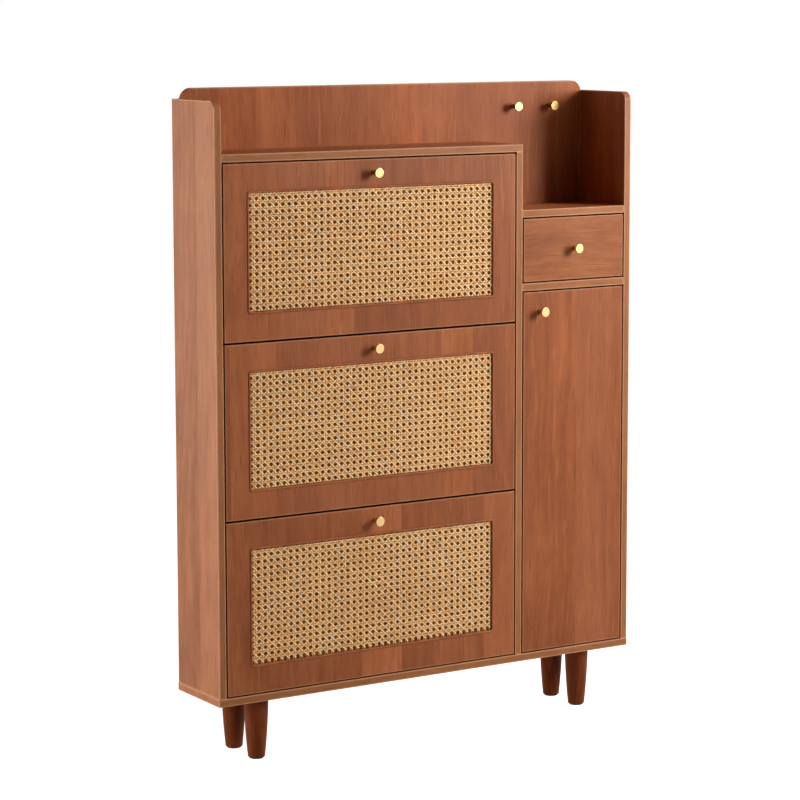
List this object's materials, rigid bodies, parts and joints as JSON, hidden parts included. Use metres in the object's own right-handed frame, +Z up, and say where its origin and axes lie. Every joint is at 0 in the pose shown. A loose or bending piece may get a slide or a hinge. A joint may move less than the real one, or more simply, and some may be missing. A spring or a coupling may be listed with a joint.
{
  "type": "shoe cabinet",
  "caption": "Slim wood-grain shoe cabinet with flip-out cane-fronted shoe racks, a small drawer, a narrow door, an open niche with coat hooks and round tapered legs.",
  "frame": {"origin": "on the floor, at the middle of the overall bounding box", "axes": "+Z up, +X to the cabinet's right as seen from the front, +Y to its back, so the fronts face -Y"},
  "size_m": [0.962, 0.188, 1.287],
  "materials": {
    "side_wood": "satin wood-grain laminate, vertical grain",
    "carcass_wood": "satin wood-grain laminate",
    "front_wood": "satin wood-grain laminate, vertical grain",
    "drawer_wood": "satin wood-grain laminate, horizontal grain",
    "bead_wood": "satin stained wood strip",
    "cane": "woven natural cane webbing, matt",
    "leg_wood": "dark walnut stain, satin lacquer",
    "knob_brass": "brushed brass, satin",
    "rack_board": "matt laminate board",
    "back_hardboard": "thin printed hardboard, matt",
    "zinc": "die-cast zinc, dull",
    "steel": "zinc-plated steel",
    "beech": "plain beech",
    "black_plastic": "moulded plastic",
    "white_plastic": "moulded plastic"
  },
  "bodies": {
    "carcass": {"left_side_panel": "side_wood", "right_side_panel": "side_wood", "bottom_board": "carcass_wood", "top_panel": "carcass_wood", "centre_divider": "carcass_wood", "upper_back_board": "carcass_wood", "left_back_panel": "back_hardboard", "right_back_panel": "back_hardboard", "niche_shelf": "carcass_wood", "drawer_shelf": "carcass_wood", "adjustable_shelf_lower": "carcass_wood", "adjustable_shelf_upper": "carcass_wood", "shelf_pins": "steel", "leg_front_left": "leg_wood", "leg_front_right": "leg_wood", "leg_rear_left": "leg_wood", "leg_rear_right": "leg_wood", "leg_hanger_bolts": "steel", "leg_threaded_inserts": "steel", "leg_glides": "black_plastic", "coat_hook_left": "knob_brass", "coat_hook_right": "knob_brass", "cam_locks": "zinc", "cam_bolts": "steel", "wooden_dowels": "beech", "base_screws": "steel", "pivot_bushes": "black_plastic", "flip_stop_pins": "steel", "drawer_runners": "beech", "door_magnetic_catch": "white_plastic"},
    "drawer": {"drawer_front": "drawer_wood", "drawer_knob": "knob_brass", "drawer_sides": "rack_board", "drawer_back": "rack_board", "drawer_bottom": "back_hardboard"},
    "door": {"door_panel": "front_wood", "door_knob": "knob_brass", "door_pivot_pins": "steel", "door_strike_plate": "steel"},
    "flip_upper": {"flip_upper_front": "front_wood", "flip_upper_bead": "bead_wood", "flip_upper_cane": "cane", "flip_upper_knob": "knob_brass", "flip_upper_pivot_pins": "steel", "flip_upper_rack_sides": "rack_board", "flip_upper_rack_boards": "rack_board"},
    "flip_middle": {"flip_middle_front": "front_wood", "flip_middle_bead": "bead_wood", "flip_middle_cane": "cane", "flip_middle_knob": "knob_brass", "flip_middle_pivot_pins": "steel", "flip_middle_rack_sides": "rack_board", "flip_middle_rack_boards": "rack_board"},
    "flip_lower": {"flip_lower_front": "front_wood", "flip_lower_bead": "bead_wood", "flip_lower_cane": "cane", "flip_lower_knob": "knob_brass", "flip_lower_pivot_pins": "steel", "flip_lower_rack_sides": "rack_board", "flip_lower_rack_boards": "rack_board"}
  },
  "joints": [
    {"name": "flip_lower_hinge", "type": "hinge", "parent": "carcass", "child": "flip_lower", "pos_m": [-0.133, -0.0665, 0.163], "axis": [1, 0, 0], "range_deg": [0, 45]},
    {"name": "flip_middle_hinge", "type": "hinge", "parent": "carcass", "child": "flip_middle", "pos_m": [-0.133, -0.0665, 0.50167], "axis": [1, 0, 0], "range_deg": [0, 45]},
    {"name": "flip_upper_hinge", "type": "hinge", "parent": "carcass", "child": "flip_upper", "pos_m": [-0.133, -0.0665, 0.84033], "axis": [1, 0, 0], "range_deg": [0, 45]},
    {"name": "drawer_slide", "type": "slide", "parent": "carcass", "child": "drawer", "axis": [0, -1, 0], "range_m": [0, 0.1]},
    {"name": "door_hinge", "type": "hinge", "parent": "carcass", "child": "door", "pos_m": [0.4495, -0.0665, 0.5], "axis": [0, 0, 1], "range_deg": [0, 100]}
  ]
}
